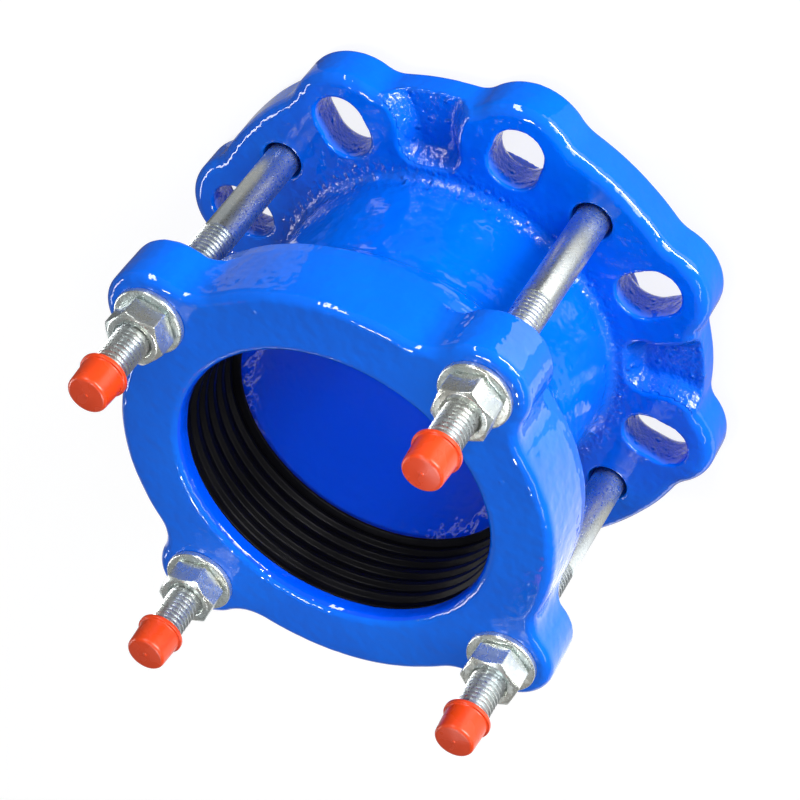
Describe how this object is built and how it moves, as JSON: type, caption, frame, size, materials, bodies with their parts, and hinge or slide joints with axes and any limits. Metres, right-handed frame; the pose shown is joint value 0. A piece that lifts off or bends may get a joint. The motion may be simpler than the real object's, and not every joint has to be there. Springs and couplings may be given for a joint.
{
  "type": "flange adapter",
  "caption": "Cast flange with a sleeve and bell, whose bolted gland ring squeezes a rubber gasket onto a plain-ended pipe.",
  "frame": {"origin": "centre of the flange's raised face, which the part stands on", "axes": "+Z along the pipe's axis from the flange to the gland; the four bolts stand at 45 degrees to X and Y"},
  "size_m": [0.1884, 0.1884, 0.1475],
  "materials": {
    "blue_epoxy": "glossy fusion-bonded epoxy over cast iron",
    "black_rubber": "satin moulded rubber",
    "zinc_steel": "bright zinc plating",
    "orange_plastic": "soft satin polythene"
  },
  "bodies": {
    "body": {"flange_body": "blue_epoxy", "pipe_gasket": "black_rubber", "bolt_1": "zinc_steel", "bolt_2": "zinc_steel", "bolt_3": "zinc_steel", "bolt_4": "zinc_steel"},
    "gland": {"gland_ring": "blue_epoxy", "washer_1": "zinc_steel", "washer_2": "zinc_steel", "washer_3": "zinc_steel", "washer_4": "zinc_steel"},
    "nut_1": {"nut_1": "zinc_steel"},
    "nut_2": {"nut_2": "zinc_steel"},
    "nut_3": {"nut_3": "zinc_steel"},
    "nut_4": {"nut_4": "zinc_steel"},
    "cap_1": {"cap_1": "orange_plastic"},
    "cap_2": {"cap_2": "orange_plastic"},
    "cap_3": {"cap_3": "orange_plastic"},
    "cap_4": {"cap_4": "orange_plastic"}
  },
  "joints": [
    {"name": "gland_slide", "type": "slide", "parent": "body", "child": "gland", "axis": [0, 0, 1], "range_m": [-0.008, 0.005], "deforming": ["pipe_gasket"]},
    {"name": "nut_1_turn", "type": "hinge", "parent": "gland", "child": "nut_1", "pos_m": [0.05551, 0.05551, 0.1102], "axis": [0, 0, 1], "range_deg": [-1650, 1032]},
    {"name": "nut_2_turn", "type": "hinge", "parent": "gland", "child": "nut_2", "pos_m": [-0.05551, 0.05551, 0.1102], "axis": [0, 0, 1], "range_deg": [-1650, 1032]},
    {"name": "nut_3_turn", "type": "hinge", "parent": "gland", "child": "nut_3", "pos_m": [-0.05551, -0.05551, 0.1102], "axis": [0, 0, 1], "range_deg": [-1650, 1032]},
    {"name": "nut_4_turn", "type": "hinge", "parent": "gland", "child": "nut_4", "pos_m": [0.05551, -0.05551, 0.1102], "axis": [0, 0, 1], "range_deg": [-1650, 1032]},
    {"name": "cap_1_pull", "type": "slide", "parent": "body", "child": "cap_1", "axis": [0, 0, 1], "range_m": [0, 0.02]},
    {"name": "cap_2_pull", "type": "slide", "parent": "body", "child": "cap_2", "axis": [0, 0, 1], "range_m": [0, 0.02]},
    {"name": "cap_3_pull", "type": "slide", "parent": "body", "child": "cap_3", "axis": [0, 0, 1], "range_m": [0, 0.02]},
    {"name": "cap_4_pull", "type": "slide", "parent": "body", "child": "cap_4", "axis": [0, 0, 1], "range_m": [0, 0.02]}
  ],
  "couplings": [
    {"joint": "nut_1_turn", "follows": "gland_slide", "rad_per_m": 3590.4},
    {"joint": "nut_2_turn", "follows": "gland_slide", "rad_per_m": 3590.4},
    {"joint": "nut_3_turn", "follows": "gland_slide", "rad_per_m": 3590.4},
    {"joint": "nut_4_turn", "follows": "gland_slide", "rad_per_m": 3590.4}
  ]
}
